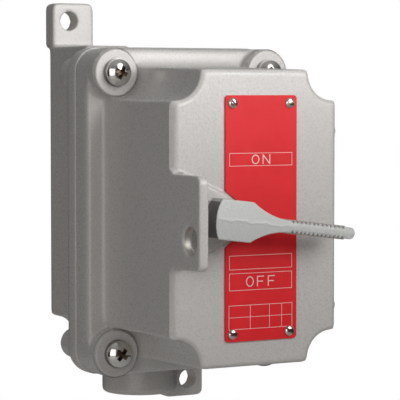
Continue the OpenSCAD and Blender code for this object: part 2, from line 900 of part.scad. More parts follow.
module mounting_strap() {
    color(steel)
        at_starter()
            difference() {
                run_y(strap_y, base_back_y)
                    round_rect(room_w - 2 * strap_gap, strap_h, 0.14 * strap_h);
                for (sx = [-1, 1]) {
                    bar_y(sx * post_x, 0, strap_y + over, base_back_y - over, term_d);
                    bar_y(sx * base_screw_x, yoke_z, strap_y + over, base_back_y - over, base_screw_d);
                }
            }
}

module strap_screws() {
    color(steel)
        at_starter()
            for (sx = [-1, 1])
                screw_y(sx * post_x, 0, base_back_y, term_d, strap_head_d, strap_head_t, strap_t + strap_grip);
}

// The chamber that holds the toggle, the carrier and the contacts
module well(y_back, y_front) {
    block(-well_w / 2, well_w / 2, y_back, y_front, -well_down, well_up);
}

// A strip from a line terminal to its contact, without the tip
module line_strip() {
    x0 = strip_x - strip_w / 2;
    x1 = strip_x + strip_w / 2;
    z0 = -contact_drop - strip_w / 2;
    z1 = -contact_drop + strip_w / 2;
    block(x0, x1, base_y + strip_t, base_y, z0, line_term_z);
    block(strip_x - term_d, strip_x + term_d, base_y + strip_t, base_y,
        line_term_z - term_d, line_term_z + term_d);
    block(x1 - strip_t, x1, well_y, base_y, z0, z1);
    block(outer_tip_x - strip_w / 2, x1, well_y, fixed_y, z0, z1);
}

// A strip from a load terminal to its contact, without the tip
module load_strip() {
    x0 = inner_tip_x - strip_w / 2;
    x1 = inner_tip_x + strip_w / 2;
    z0 = -well_down - strip_t;
    block(x0, x1, well_y, fixed_y, z0, -contact_drop + strip_w / 2);
    block(x0, x1, well_y, base_y, z0, -well_down);
    block(x0, x1, base_y + strip_t, base_y, load_term_z, -well_down);
    block(x0, heater_x - heater_lug, base_y + strip_t, base_y, load_term_z - term_d, load_term_z + term_d);
}

module output_strip() {
    x = heater_x + heater_span;
    block(x - heater_lug, x + heater_lug, base_y + strip_t, base_y, output_z - term_d, load_term_z + term_d);
}

module starter_base() {
    hole_y = base_y + term_hole_l;
    color(phenolic)
        at_starter()
            difference() {
                block(-base_w / 2, base_w / 2, base_back_y, base_y, -base_down, base_up);
                well(well_y, base_y - over);
                for (m = [0, 1])
                    mirror([m, 0, 0]) {
                        line_strip();
                        load_strip();
                        bar_y(strip_x, line_term_z, hole_y, base_y - over, term_d);
                        bar_y(heater_x - heater_span, load_term_z, hole_y, base_y - over, term_d);
                        bar_y(base_screw_x, yoke_z, base_back_y + over, well_y - over, base_screw_d);
                        bar_y(top_screw_x, top_screw_z, base_y + house_hole_l, base_y - over, house_screw_d);
                        bar_y(low_screw_x, low_screw_z, base_y + house_hole_l, base_y - over, house_screw_d);
                    }
                output_strip();
                for (z = [load_term_z, output_z])
                    bar_y(heater_x + heater_span, z, hole_y, base_y - over, term_d);
            }
}

module base_screws() {
    color(steel)
        at_starter()
            for (sx = [-1, 1])
                screw_y(sx * base_screw_x, yoke_z, well_y, base_screw_d, base_head_d, base_head_t,
                    strap_y - well_y);
}

// Children at the four housing screws
module at_house_screws() {
    for (sx = [-1, 1]) {
        translate([sx * top_screw_x, 0, top_screw_z])
            children();
        translate([sx * low_screw_x, 0, low_screw_z])
            children();
    }
}

module starter_housing() {
    reach = swing * toggle_ratio;
    sweep = (pivot_y - house_y) * tan(reach) + handle_d / 2 / cos(reach) + handle_room;
    slot_x = handle_d / 2 + handle_room;
    color(phenolic)
        at_starter()
            difference() {
                block(-housing_w / 2, housing_w / 2, base_y, house_y, -house_down, house_up);
                well(base_y + over, house_in_y);
                block(-slot_x, slot_x, base_y, house_y - over, -sweep, sweep);
                translate([-housing_w / 2 + pin_set, pivot_y, 0])
                    rotate([0, 90, 0])
                        cylinder(h = housing_w - 2 * pin_set, d = pivot_d);
                at_house_screws()
                    bar_y(0, 0, base_y + over, house_y - over, house_screw_d);
            }
}

module housing_screws() {
    color(steel)
        at_starter()
            at_house_screws()
                screw_y(0, 0, house_y, house_screw_d, house_head_d, house_head_t,
                    base_y - house_y + house_grip);
}

module toggle_handle() {
    color(phenolic)
        at_toggle()
            difference() {
                union() {
                    translate([-well_w / 2 + pass_gap, 0, 0])
                        rotate([0, 90, 0])
                            cylinder(h = well_w - 2 * pass_gap, d = toggle_hub_d);
                    bar_y(0, 0, 0, -toggle_l, handle_d);
                    translate([0, -toggle_l, 0])
                        sphere(d = ball_d);
                    block(-tail_w / 2, tail_w / 2, tail_t / 2, -tail_t / 2, 0, tail_reach);
                    translate([-tail_w / 2, 0, tail_reach])
                        rotate([0, 90, 0])
                            cylinder(h = tail_w, d = tail_pin_d);
                }
                translate([-well_w, 0, 0])
                    rotate([0, 90, 0])
                        cylinder(h = 2 * well_w, d = pivot_d + 2 * run_gap);
            }
}

module toggle_pin() {
    color(steel)
        at_starter()
            translate([-housing_w / 2 + pin_set, pivot_y, 0])
                rotate([0, 90, 0])
                    cylinder(h = housing_w - 2 * pin_set, d = pivot_d);
}

// Children at the contact carrier, at rest
module at_carrier() {
    translate([0, carrier_shift, shaft_z])
        children();
}

module contact_carrier() {
    half = well_w / 2 - pass_gap;
    slot_y = tail_pin_d / 2 + tail_gap;
    bar_z = -contact_drop;
    color(phenolic)
        at_carrier() {
            difference() {
                union() {
                    block(-half, half, carrier_back_y, carrier_y, bar_z - bar_w, yoke_top);
                    block(-half, half, carrier_back_y, yoke_y, yoke_z, yoke_top);
                }
                block(-half - over, half + over, pivot_y + slot_y, pivot_y - slot_y, 0, yoke_top - yoke_t);
            }
            for (sx = [-1, 1]) {
                bar_y(sx * bar_x, bar_z, bar_back_y + tip_t / 2, carrier_back_y - over, guide_d);
                bar_y(sx * bar_x, bar_z, bar_back_y + tip_t / 2, bar_back_y, 1.5 * guide_d);
            }
        }
}

module bridge_contacts() {
    bar_z = -contact_drop;
    bar_h = tip_out + tip_d / 2;
    color(copper)
        at_carrier()
            for (sx = [-1, 1])
                difference() {
                    union() {
                        block(sx * bar_x - bar_h, sx * bar_x + bar_h, bar_back_y, bar_front_y,
                            bar_z - bar_w / 2, bar_z + bar_w / 2);
                        for (t = [-1, 1])
                            bar_y(sx * bar_x + t * tip_out, bar_z, bar_back_y + tip_t,
                                bar_front_y + bar_t / 2, tip_d);
                    }
                    bar_y(sx * bar_x, bar_z, bar_back_y + over, bar_front_y - over, guide_d);
                }
}

module contact_springs() {
    color(steel)
        at_carrier()
            for (sx = [-1, 1])
                difference() {
                    bar_y(sx * bar_x, -contact_drop, bar_front_y, carrier_back_y, spring_d);
                    bar_y(sx * bar_x, -contact_drop, bar_front_y + over, carrier_back_y - over, spring_bore_d);
                }
}

module line_contacts() {
    color(copper)
        at_starter()
            for (m = [0, 1])
                mirror([m, 0, 0])
                    difference() {
                        union() {
                            line_strip();
                            bar_y(outer_tip_x, -contact_drop, fixed_y + strip_t / 2, fixed_y - tip_t, tip_d);
                        }
                        bar_y(strip_x, line_term_z, base_y + strip_t + over, base_y - over, term_d);
                    }
}

module load_contacts() {
    color(copper)
        at_starter()
            for (m = [0, 1])
                mirror([m, 0, 0])
                    difference() {
                        union() {
                            load_strip();
                            bar_y(inner_tip_x, -contact_drop, fixed_y + strip_t / 2, fixed_y - tip_t, tip_d);
                        }
                        bar_y(heater_x - heater_span, load_term_z, base_y + strip_t + over,
                            base_y - over, term_d);
                    }
}

module output_terminal() {
    color(copper)
        at_starter()
            difference() {
                output_strip();
                for (z = [load_term_z, output_z])
                    bar_y(heater_x + heater_span, z, base_y + strip_t + over, base_y - over, term_d);
            }
}

module terminal_screws() {
    color(brass)
        at_starter() {
            for (sx = [-1, 1])
                screw_y(sx * strip_x, line_term_z, base_y, term_d, term_head_d, term_head_t, term_l);
            screw_y(heater_span - heater_x, load_term_z, base_y, term_d, term_head_d, term_head_t, term_l);
            screw_y(heater_x + heater_span, output_z, base_y, term_d, term_head_d, term_head_t, term_l);
        }
}

module overload_heater() {
    lug_front = base_y - heater_lug_t;
    button_y = base_y - heater_h;
    color(steel)
        at_starter()
            difference() {
                union() {
                    block(heater_x - heater_span - heater_lug, heater_x + heater_span + heater_lug,
                        base_y, lug_front, load_term_z - heater_lug, load_term_z + heater_lug);
                    bar_y(heater_x, load_term_z, base_y, button_y, heater_d);
                    bar_y(heater_x, load_term_z, button_y + over, button_y - heater_lug_t, 0.6 * heater_d);
                }
                for (s = [-1, 1])
                    bar_y(heater_x + s * heater_span, load_term_z, base_y + over, lug_front - over, term_d);
            }
}

module heater_screws() {
    seat_y = base_y - heater_lug_t;
    color(brass)
        at_starter()
            for (s = [-1, 1])
                screw_y(heater_x + s * heater_span, load_term_z, seat_y, term_d,
                    heater_head_d, heater_head_t, term_l);
}

module ground_screw() {
    color(ground_green)
        screw_y(ground_x, ground_z, ground_boss_y, ground_d, ground_head_d, ground_head_t, ground_grip);
}

back_box();
cover();
padlock_ear();
cover_screws();
lock_washers();
nameplate();
nameplate_screws();
operating_lever();
lever_pin();
operator_shaft();
shaft_bushing();
shaft_seal();
thrust_washer();
retaining_ring();
inner_crank();
crank_screw();
mounting_strap();
strap_screws();
starter_base();
base_screws();
starter_housing();
housing_screws();
toggle_handle();
toggle_pin();
contact_carrier();
bridge_contacts();
contact_springs();
line_contacts();
load_contacts();
output_terminal();
terminal_screws();
overload_heater();
heater_screws();
ground_screw();
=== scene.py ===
import bpy
import bmesh
import json
import math
import numpy as np
from mathutils import Matrix, Vector


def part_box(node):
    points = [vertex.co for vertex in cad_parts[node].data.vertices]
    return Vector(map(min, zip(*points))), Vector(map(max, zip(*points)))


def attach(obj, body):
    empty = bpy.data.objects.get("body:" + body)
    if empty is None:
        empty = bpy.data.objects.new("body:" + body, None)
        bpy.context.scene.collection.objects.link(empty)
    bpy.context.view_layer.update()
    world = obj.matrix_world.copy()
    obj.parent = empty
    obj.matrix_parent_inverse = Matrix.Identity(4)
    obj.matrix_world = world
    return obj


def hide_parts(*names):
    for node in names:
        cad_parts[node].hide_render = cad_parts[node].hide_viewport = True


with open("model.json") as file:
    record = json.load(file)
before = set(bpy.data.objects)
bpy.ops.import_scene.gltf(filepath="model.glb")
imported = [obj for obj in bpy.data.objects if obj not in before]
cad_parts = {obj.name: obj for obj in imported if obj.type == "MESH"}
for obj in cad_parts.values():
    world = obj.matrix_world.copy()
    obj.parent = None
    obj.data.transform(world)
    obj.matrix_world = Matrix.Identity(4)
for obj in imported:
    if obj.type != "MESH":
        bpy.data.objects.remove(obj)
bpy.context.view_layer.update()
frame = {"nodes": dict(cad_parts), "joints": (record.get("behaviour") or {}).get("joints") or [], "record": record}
cadNodes = frame["nodes"]
mounts = {mount["name"]: mount for mount in frame["record"]["mounts"]}
joints = {joint["name"]: joint for joint in frame["joints"]}
mm = 0.001
print("frame loaded:", len(cadNodes), "nodes")


def cornersOf(nodeName):  # lowest and highest corner of a node in mm
    low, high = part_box(nodeName)
    return np.array(low, dtype=float) / mm, np.array(high, dtype=float) / mm


def placeOf(thing):  # place of a mount or a joint in mm
    return np.array(thing["pos_m"]) / mm


# small helpers for the node trees
mixSockets = {"first": 6, "second": 7, "result": 2}  # the colour sockets of a Mix node


def startMaterial(name):
    material = bpy.data.materials.new(name)
    material.use_nodes = True
    tree = material.node_tree
    return material, tree, tree.nodes["Principled BSDF"]


def addNode(tree, kind, **values):
    node = tree.nodes.new(kind)
    for key, value in values.items():
        node.inputs[key].default_value = value
    return node


def objectPlace(tree):
    return tree.nodes.new("ShaderNodeTexCoord").outputs["Object"]


def grain(tree, place, size, detail=3.0, roughness=0.55):  # size of one grain in mm
    noise = addNode(tree, "ShaderNodeTexNoise", Scale=1.0 / (size * mm), Detail=detail, Roughness=roughness)
    tree.links.new(place, noise.inputs["Vector"])
    return noise.outputs["Fac"]


def spread(tree, value, low, high, fromLow=0.3, fromHigh=0.7):
    node = tree.nodes.new("ShaderNodeMapRange")
    limits = {"From Min": fromLow, "From Max": fromHigh, "To Min": low, "To Max": high}
    for socket, limit in limits.items():
        node.inputs[socket].default_value = limit
    tree.links.new(value, node.inputs["Value"])
    return node.outputs["Result"]


def tint(tree, share, first, second):
    node = tree.nodes.new("ShaderNodeMix")
    node.data_type = "RGBA"
    tree.links.new(share, node.inputs["Factor"])
    for key, colour in (("first", first), ("second", second)):
        socket = node.inputs[mixSockets[key]]
        if isinstance(colour, tuple):
            socket.default_value = (*colour, 1.0)
        else:
            tree.links.new(colour, socket)
    return node.outputs[mixSockets["result"]]


def relief(tree, height, depth, strength, under=None):  # depth in mm
    node = addNode(tree, "ShaderNodeBump", Strength=strength, Distance=depth * mm)
    tree.links.new(height, node.inputs["Height"])
    if under is not None:
        tree.links.new(under, node.inputs["Normal"])
    return node.outputs["Normal"]


# satin enamel over a sand casting: fine speckle, a little orange peel, slow clouding
enamelGrain = {"fine": 0.75, "coarse": 1.9, "cloud": 46.0, "gloss": 0.6}
enamelLook = {
    "satin_enamel": {"light": (0.540, 0.523, 0.507), "dark": (0.502, 0.486, 0.471),
                     "cloudShade": (0.505, 0.489, 0.474), "speckle": 0.02, "peel": 0.13, "rough": 0.29},
    "lever_enamel": {"light": (0.52, 0.53, 0.515), "dark": (0.43, 0.44, 0.425),
                     "cloudShade": (0.46, 0.47, 0.455), "speckle": 0.03, "peel": 0.06, "rough": 0.4},
    # the next entry is painted shade: near-black enamel for the lever's end face that the ear shades
    "lever_tail_painted_shade": {"light": (0.15, 0.15, 0.145), "dark": (0.09, 0.09, 0.086),
                         "cloudShade": (0.11, 0.11, 0.105), "speckle": 0.03, "peel": 0.06, "rough": 0.5},
    # the next entry is dirt and painted shade: darker enamel in the grip's grooves, which lie in shadow
    "grip_groove_dirt_and_shade": {"light": (0.27, 0.265, 0.25), "dark": (0.17, 0.165, 0.155),
                          "cloudShade": (0.21, 0.205, 0.195), "speckle": 0.03, "peel": 0.06, "rough": 0.5},
}


def castEnamel(name, light, dark, cloudShade, speckle, peel, rough):
    material, tree, shader = startMaterial(name)
    place = objectPlace(tree)
    fine = grain(tree, place, enamelGrain["fine"], 2.0, 0.6)
    coarse = grain(tree, place, enamelGrain["coarse"], 2.0)
    cloud = grain(tree, place, enamelGrain["cloud"])
    colour = tint(tree, spread(tree, fine, 0.0, 1.0, 0.36, 0.64), dark, light)
    colour = tint(tree, spread(tree, cloud, 0.0, 1.0, 0.35, 0.7), colour, cloudShade)
    tree.links.new(colour, shader.inputs["Base Color"])
    tree.links.new(spread(tree, fine, rough - 0.06, rough + 0.08), shader.inputs["Roughness"])
    bumps = relief(tree, coarse, peel, 0.6)
    tree.links.new(relief(tree, fine, speckle, 0.7, bumps), shader.inputs["Normal"])
    shader.inputs["Specular IOR Level"].default_value = enamelGrain["gloss"]
    return material


# bare metal: faint streaks and stains over a base colour
metalLook = {
    "cut_aluminium": {"colour": (0.55, 0.535, 0.51), "stain": (0.38, 0.345, 0.30), "rough": 0.5,
                      "grainSize": 0.6, "depth": 0.03},
    "screw_steel": {"colour": (0.80, 0.78, 0.74), "stain": (0.60, 0.56, 0.50), "rough": 0.14,
                    "grainSize": 0.35, "depth": 0.008},
    # the next entry is painted shade: dark brownish steel for the floors of the screw recesses and slots
    "recess_shade_steel": {"colour": (0.30, 0.24, 0.17), "stain": (0.12, 0.09, 0.06), "rough": 0.42,
                     "grainSize": 0.4, "depth": 0.02},
    "washer_steel": {"colour": (0.33, 0.325, 0.32), "stain": (0.20, 0.19, 0.18), "rough": 0.36,
                     "grainSize": 0.4, "depth": 0.015},
    "drive_screw_steel": {"colour": (0.74, 0.73, 0.70), "stain": (0.56, 0.53, 0.48), "rough": 0.16,
                          "grainSize": 0.3, "depth": 0.006},
    "turned_steel": {"colour": (0.54, 0.545, 0.55), "stain": (0.42, 0.41, 0.40), "rough": 0.34,
                     "grainSize": 0.5, "depth": 0.01, "streak": (0.15, 6.0, 0.15)},
    "zinc_steel": {"colour": (0.60, 0.615, 0.62), "stain": (0.50, 0.50, 0.47), "rough": 0.36,
                   "grainSize": 1.4, "depth": 0.006},
    "turned_brass": {"colour": (0.73, 0.55, 0.26), "stain": (0.56, 0.40, 0.18), "rough": 0.3,
                     "grainSize": 0.5, "depth": 0.008, "streak": (0.2, 5.0, 0.2)},
    "strip_copper": {"colour": (0.76, 0.45, 0.30), "stain": (0.58, 0.33, 0.22), "rough": 0.33,
                     "grainSize": 0.8, "depth": 0.006, "streak": (1.0, 1.0, 0.2)},
}


def bareMetal(name, colour, stain, rough, grainSize, depth, streak=(1.0, 1.0, 1.0), stainSize=5.0):
    material, tree, shader = startMaterial(name)
    place = objectPlace(tree)
    stretch = addNode(tree, "ShaderNodeMapping", Scale=streak)
    tree.links.new(place, stretch.inputs["Vector"])
    lines = grain(tree, stretch.outputs["Vector"], grainSize, 3.0, 0.6)
    stained = spread(tree, grain(tree, place, stainSize), 0.0, 1.0, 0.4, 0.75)
    tree.links.new(tint(tree, stained, colour, stain), shader.inputs["Base Color"])
    tree.links.new(spread(tree, lines, rough - 0.08, rough + 0.12), shader.inputs["Roughness"])
    tree.links.new(relief(tree, lines, depth, 0.5), shader.inputs["Normal"])
    shader.inputs["Metallic"].default_value = 1.0
    return material


# moulded or printed surfaces: two close shades and a soft texture
coatLook = {
    "phenolic": {"colour": (0.045, 0.042, 0.04), "second": (0.065, 0.06, 0.055), "rough": 0.45,
                 "depth": 0.01},
    "seal_rubber": {"colour": (0.022, 0.022, 0.022), "second": (0.035, 0.034, 0.033), "rough": 0.72,
                    "depth": 0.02, "grainSize": 0.6},
    "ground_green": {"colour": (0.05, 0.26, 0.10), "second": (0.08, 0.33, 0.14), "rough": 0.34,
                     "depth": 0.006},
    "plate_red": {"colour": (0.70, 0.024, 0.030), "second": (0.64, 0.019, 0.024), "rough": 0.42,
                  "depth": 0.006, "grainSize": 0.9, "gloss": 0.2},
    "pale_ink": {"colour": (0.80, 0.58, 0.56), "second": (0.74, 0.50, 0.48), "rough": 0.5,
                 "depth": 0.003, "grainSize": 0.5},
    "pale_floor": {"colour": (0.80, 0.80, 0.79), "second": (0.76, 0.76, 0.75), "rough": 0.7,
                   "depth": 0.05, "grainSize": 3.0},
}


def smoothCoat(name, colour, second, rough, depth, grainSize=1.2, gloss=0.5, cloudSize=14.0):
    material, tree, shader = startMaterial(name)
    place = objectPlace(tree)
    fine = grain(tree, place, grainSize, 2.0)
    cloud = spread(tree, grain(tree, place, cloudSize), 0.0, 1.0)
    tree.links.new(tint(tree, cloud, colour, second), shader.inputs["Base Color"])
    tree.links.new(spread(tree, fine, rough - 0.05, rough + 0.07), shader.inputs["Roughness"])
    tree.links.new(relief(tree, fine, depth, 0.5), shader.inputs["Normal"])
    shader.inputs["Specular IOR Level"].default_value = gloss
    return material


finishes = {}
for makeFinish, looks in ((castEnamel, enamelLook), (bareMetal, metalLook), (smoothCoat, coatLook)):
    for finishName, look in looks.items():
        finishes[finishName] = makeFinish(finishName, **look)
print("materials made:", len(finishes))


clothing = {
    "satin_enamel": ["cover", "back_box", "padlock_ear"],
    "lever_enamel": ["operating_lever"],
    "screw_steel": ["cover_screws"],
    "washer_steel": ["lock_washers"],
    "drive_screw_steel": ["nameplate_screws"],
    "turned_steel": ["operator_shaft", "lever_pin", "thrust_washer", "retaining_ring", "crank_screw",
                     "toggle_pin", "contact_springs"],
    "zinc_steel": ["inner_crank", "mounting_strap", "strap_screws", "base_screws", "housing_screws",
                   "overload_heater"],
    "turned_brass": ["shaft_bushing", "terminal_screws", "heater_screws"],
    "strip_copper": ["bridge_contacts", "line_contacts", "load_contacts", "output_terminal"],
    "phenolic": ["starter_base", "starter_housing", "toggle_handle", "contact_carrier"],
    "seal_rubber": ["shaft_seal"],
    "ground_green": ["ground_screw"],
    "plate_red": ["nameplate"],
}
for finishName, nodeNames in clothing.items():
    for nodeName in nodeNames:
        slots = cadNodes[nodeName].data.materials
        slots.clear()
        slots.append(finishes[finishName])
print("nodes clothed")


# helpers for the meshes
def meshOf(bm, name):
    mesh = bpy.data.meshes.new(name)
    bm.to_mesh(mesh)
    bm.free()
    return mesh


def spareObject(mesh):  # only there while its modifiers work
    spare = bpy.data.objects.new("spare", mesh)
    bpy.context.scene.collection.objects.link(spare)
    return spare


def settle(spare):  # the mesh that the modifiers give
    made = bpy.data.meshes.new_from_object(spare.evaluated_get(bpy.context.evaluated_depsgraph_get()))
    bpy.data.objects.remove(spare)
    made.polygons.foreach_set("use_smooth", [True] * len(made.polygons))
    return made


def addPiece(name, mesh, finishNames, body, stands=(), place=None):
    piece = bpy.data.objects.new(name, mesh)
    bpy.context.scene.collection.objects.link(piece)
    mesh.name = name
    if finishNames:
        mesh.materials.clear()
    for finishName in finishNames:
        mesh.materials.append(finishes[finishName])
    if place is not None:
        piece.location = place
        bpy.context.view_layer.update()
    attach(piece, body)
    for node in stands:
        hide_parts(node)
    return piece


def breakEdges(piece, width, angle):  # a small bevel on the sharp edges
    bevel = piece.modifiers.new("broken_edge", "BEVEL")
    bevel.width = width * mm
    bevel.segments = 2
    bevel.limit_method = "ANGLE"
    bevel.angle_limit = math.radians(angle)


def evenShade(piece, weight=60):  # flat areas shade flat, rounds stay smooth
    weighted = piece.modifiers.new("even_shade", "WEIGHTED_NORMAL")
    weighted.keep_sharp = False
    weighted.weight = weight


def solidOf(nodeName):
    bm = bmesh.new()
    bm.from_mesh(cadNodes[nodeName].data)
    return bm


def evenSkin(bm, cell):  # the solid of a casting as an even skin of small quads
    bmesh.ops.remove_doubles(bm, verts=bm.verts, dist=0.001 * mm)
    spare = spareObject(meshOf(bm, "skin"))
    remesh = spare.modifiers.new("even", "REMESH")
    remesh.mode = "VOXEL"
    remesh.voxel_size = cell * mm
    return settle(spare)


def lighten(mesh, faces):  # collapse the flat areas, keep the rounds
    spare = spareObject(mesh)
    collapse = spare.modifiers.new("collapse", "DECIMATE")
    collapse.ratio = min(1.0, faces / (2.0 * len(mesh.polygons)))  # a quad counts as two
    return settle(spare)


def pointsOf(mesh):  # in metres
    points = np.empty(len(mesh.vertices) * 3)
    mesh.vertices.foreach_get("co", points)
    return points.reshape(-1, 3)


def movePoints(mesh, points):
    mesh.vertices.foreach_set("co", points.ravel())
    mesh.update()


def easeEdges(mesh, rounds, pull=0.5):  # rounds: (passes, weight function of the points in mm)
    points = pointsOf(mesh)
    ends = np.empty(len(mesh.edges) * 2, dtype=np.int32)
    mesh.edges.foreach_get("vertices", ends)
    ends = ends.reshape(-1, 2)
    here, there = np.ascontiguousarray(np.concatenate([ends, ends[:, ::-1]]).T, dtype=np.intp)
    count = np.bincount(here, minlength=len(points))[:, None]
    for passes, weightOf in rounds:
        weight = weightOf(points / mm)[:, None] * pull
        for step in range(passes):
            sums = [np.bincount(here, weights=points[there, k], minlength=len(points)) for k in range(3)]
            points += weight * (np.stack(sums, 1) / count - points)
    movePoints(mesh, points)


def ramp(value, low, high):
    share = np.clip((value - low) / (high - low), 0.0, 1.0)
    return share * share * (3.0 - 2.0 * share)


def near(value, centre, full, none):  # 1 within full of centre, 0 past none
    return 1.0 - ramp(np.abs(value - centre), full, none)


def insetOf(points, half, radius):  # distance inside a rounded rectangle
    past = np.abs(points[:, [0, 2]]) - (half - radius)
    return radius - np.linalg.norm(np.maximum(past, 0.0), axis=1) - np.minimum(past.max(axis=1), 0.0)


def crispAtJoint(points, reach, least=0.15):  # the edges that meet at the joint stay sharp
    return least + (1.0 - least) * ramp(np.abs(points[:, 1] - jointY), *reach)


# cover with its ear, as one casting: sizes in mm, pairs are where a mask starts and ends
coverLook = {
    "cell": 0.55, "faces": 90000,
    "screwAt": (38.1, 61.5), "half": (40.0, 62.6), "scallop": 12.0, "bossRise": 6.6,
    "flangeThick": 12.0, "flangeCorner": 10.9, "frontSlack": 0.3, "earSink": 3.0, "earTouch": 0.05,
    "softEdges": 5, "crispJoint": (0.2, 1.3), "crispFront": (2.2, 4.0), "crispFrontAt": 1.0,
    "rimRound": 80, "rimLevel": (3.6, 5.4), "rimInset": (3.2, 4.8), "rimFromBoss": (11.6, 13.5),
    "footFillet": 110, "footLevel": (4.2, 7.0), "footInset": (3.6, 5.2), "footFromBoss": (11.6, 14.5),
    "frontRound": 2, "frontLevel": (3.2, 6.0), "frontLevelAt": 0.6, "earShare": 0.3,
    "tipRound": 14, "tipReach": (1.2, 2.8), "tipAbove": (8.0, 12.0),
    "bandLeft": (2.3, 2.6), "bandRight": (1.4, 1.5), "bandEnds": (1.2, 1.2), "bandFromEar": (-0.2, 0.6),
    "earSide": -25.0, "lockWear": 0.12,
    "groove": (10.4, 11.5), "grooveEdge": 0.15, "grooveDepth": 2.0, "grooveLevel": (0.6, 1.1),
}
coverHigh = cornersOf("cover")[1]
earLow, earHigh = cornersOf("padlock_ear")
jointY, frontY = coverHigh[1], earHigh[1]
ledgeY = jointY - coverLook["flangeThick"]
flangeHalf = coverHigh[[0, 2]]


def bossReach(points):  # distance from the nearest cover screw axis
    x, z = coverLook["screwAt"]
    return np.hypot(np.abs(points[:, 0]) - x, np.abs(points[:, 2]) - z)


def coverWeights(points):
    front = near(points[:, 1], frontY + coverLook["crispFrontAt"], *coverLook["crispFront"])
    return crispAtJoint(points, coverLook["crispJoint"]) * (1.0 - 0.5 * front)


def rimWeights(points):  # rounded front edge of the flange between the bosses
    inset = insetOf(points, flangeHalf, coverLook["flangeCorner"])
    place = near(points[:, 1], ledgeY, *coverLook["rimLevel"]) * (1.0 - ramp(inset, *coverLook["rimInset"]))
    return place * ramp(bossReach(points), *coverLook["rimFromBoss"])


def footWeights(points):  # hollow round where the walls stand on the flange
    inset = insetOf(points, flangeHalf, coverLook["flangeCorner"])
    place = near(points[:, 1], ledgeY, *coverLook["footLevel"]) * ramp(inset, *coverLook["footInset"])
    return place * ramp(bossReach(points), *coverLook["footFromBoss"])


def frontWeights(points):  # the front edges are eased, the ear and pad less
    share = np.where(points[:, 1] < frontY - coverLook["frontSlack"], coverLook["earShare"], 1.0)
    return near(points[:, 1], frontY + coverLook["frontLevelAt"], *coverLook["frontLevel"]) * share


def tipWeights(points):  # the upright corners where a scallop meets a wall
    side, end = coverLook["half"]
    wall = np.minimum(side - np.abs(points[:, 0]), end - np.abs(points[:, 2]))
    place = near(bossReach(points), coverLook["scallop"], *coverLook["tipReach"])
    place *= near(wall, 0.0, *coverLook["tipReach"])
    return place * ramp(ledgeY - points[:, 1], *coverLook["tipAbove"])


def slopeFront(mesh):  # narrow sloping band round the front face, not beside the ear
    points = pointsOf(mesh) / mm
    side, end = coverLook["half"]
    ends = np.minimum(end - np.abs(points[:, 2]), bossReach(points) - coverLook["scallop"])
    reaches = {"bandLeft": side + points[:, 0], "bandRight": side - points[:, 0], "bandEnds": ends}
    drop = np.zeros(len(points))
    for band, reach in reaches.items():
        wide, deep = coverLook[band]
        drop = np.maximum(drop, deep * (1.0 - np.clip(reach / wide, 0.0, 1.0)))
    middle, tall = (earLow[2] + earHigh[2]) / 2, (earHigh[2] - earLow[2]) / 2
    start, full = coverLook["bandFromEar"]
    fromEar = ramp(np.abs(points[:, 2] - middle), tall + start, tall + full)
    limit = frontY + drop * np.where(points[:, 0] < coverLook["earSide"], fromEar, 1.0)
    pick = (points[:, 1] > frontY - coverLook["frontSlack"]) & (points[:, 1] < limit)
    points[:, 1] = np.where(pick, limit, points[:, 1])
    movePoints(mesh, points * mm)


def sinkRing(mesh):  # narrow groove between each screw boss and the wall beside it
    points = pointsOf(mesh) / mm
    inner, outer = coverLook["groove"]
    width = outer - inner
    place = near(bossReach(points), (inner + outer) / 2, width / 4, width / 2 + coverLook["grooveEdge"])
    level = near(points[:, 1], ledgeY - coverLook["bossRise"], *coverLook["grooveLevel"])
    points[:, 1] += coverLook["grooveDepth"] * place * level
    movePoints(mesh, points * mm)


def makeCover():
    bm = solidOf("padlock_ear")
    for vert in bm.verts:  # sunk into the front wall, so that both make one casting
        if vert.co.y / mm > frontY - coverLook["earTouch"]:
            vert.co.y += coverLook["earSink"] * mm
    bm.from_mesh(cadNodes["cover"].data)
    mesh = evenSkin(bm, coverLook["cell"])
    slopeFront(mesh)
    easeEdges(mesh, [(coverLook["softEdges"], coverWeights), (coverLook["rimRound"], rimWeights),
                     (coverLook["footFillet"], footWeights), (coverLook["frontRound"], frontWeights),
                     (coverLook["tipRound"], tipWeights)])
    sinkRing(mesh)
    mesh = lighten(mesh, coverLook["faces"])
    piece = addPiece("cover_casting", mesh, ["satin_enamel", "cut_aluminium"], "enclosure",
                     ["cover", "padlock_ear"])
    lock = mounts["padlock_hole"]
    lockX, lockY, lockZ = placeOf(lock)
    wornR = lock["dims"]["r_mm"] + coverLook["lockWear"]
    for face in mesh.polygons:  # the padlock hole is worn to bare metal
        x, y, z = face.center / mm
        if abs(x - lockX) < lock["dims"]["length_mm"] and math.hypot(y - lockY, z - lockZ) < wornR:
            face.material_index = 1
    evenShade(piece)
    print("cover:", len(mesh.polygons), "faces")


boxLook = {
    "cell": 0.6, "faces": 80000, "flangeHalf": (49.6, 73.0), "flangeThick": 10.0, "flangeCorner": 11.5,
    "softEdges": 9, "crispJoint": (0.2, 1.1),
    "lugHole": (31.2, 85.8), "lugHoleRim": (5.0, 6.5), "lugHoleShare": 0.25,
    "backCorners": 26, "backFrom": (-14.0, -7.0), "hubMouth": (1.5, 3.0), "backShare": 0.8,
    "lugsPastEnd": (73.0, 75.5), "lugsPastHub": (18.5, 20.5),
    "rimTaper": 1.3, "rimTaperLength": 3.4, "rimInset": (-0.3, 1.6), "rimSlack": 0.4,
    "boreTop": -60.0, "boreWear": 0.15,
}
hub = mounts["conduit_hub"]
hubX, hubY, hubZ = placeOf(hub)
hubMouthZ = hubZ - hub["dims"]["length_mm"] / 2


def boxWeights(points):
    x, z = boxLook["lugHole"]
    turn = np.sign(points[:, 2])  # the lugs stand on a diagonal
    fromHole = ramp(np.hypot(points[:, 0] + turn * x, points[:, 2] - turn * z), *boxLook["lugHoleRim"])
    least = boxLook["lugHoleShare"]
    return crispAtJoint(points, boxLook["crispJoint"]) * (least + (1.0 - least) * fromHole)


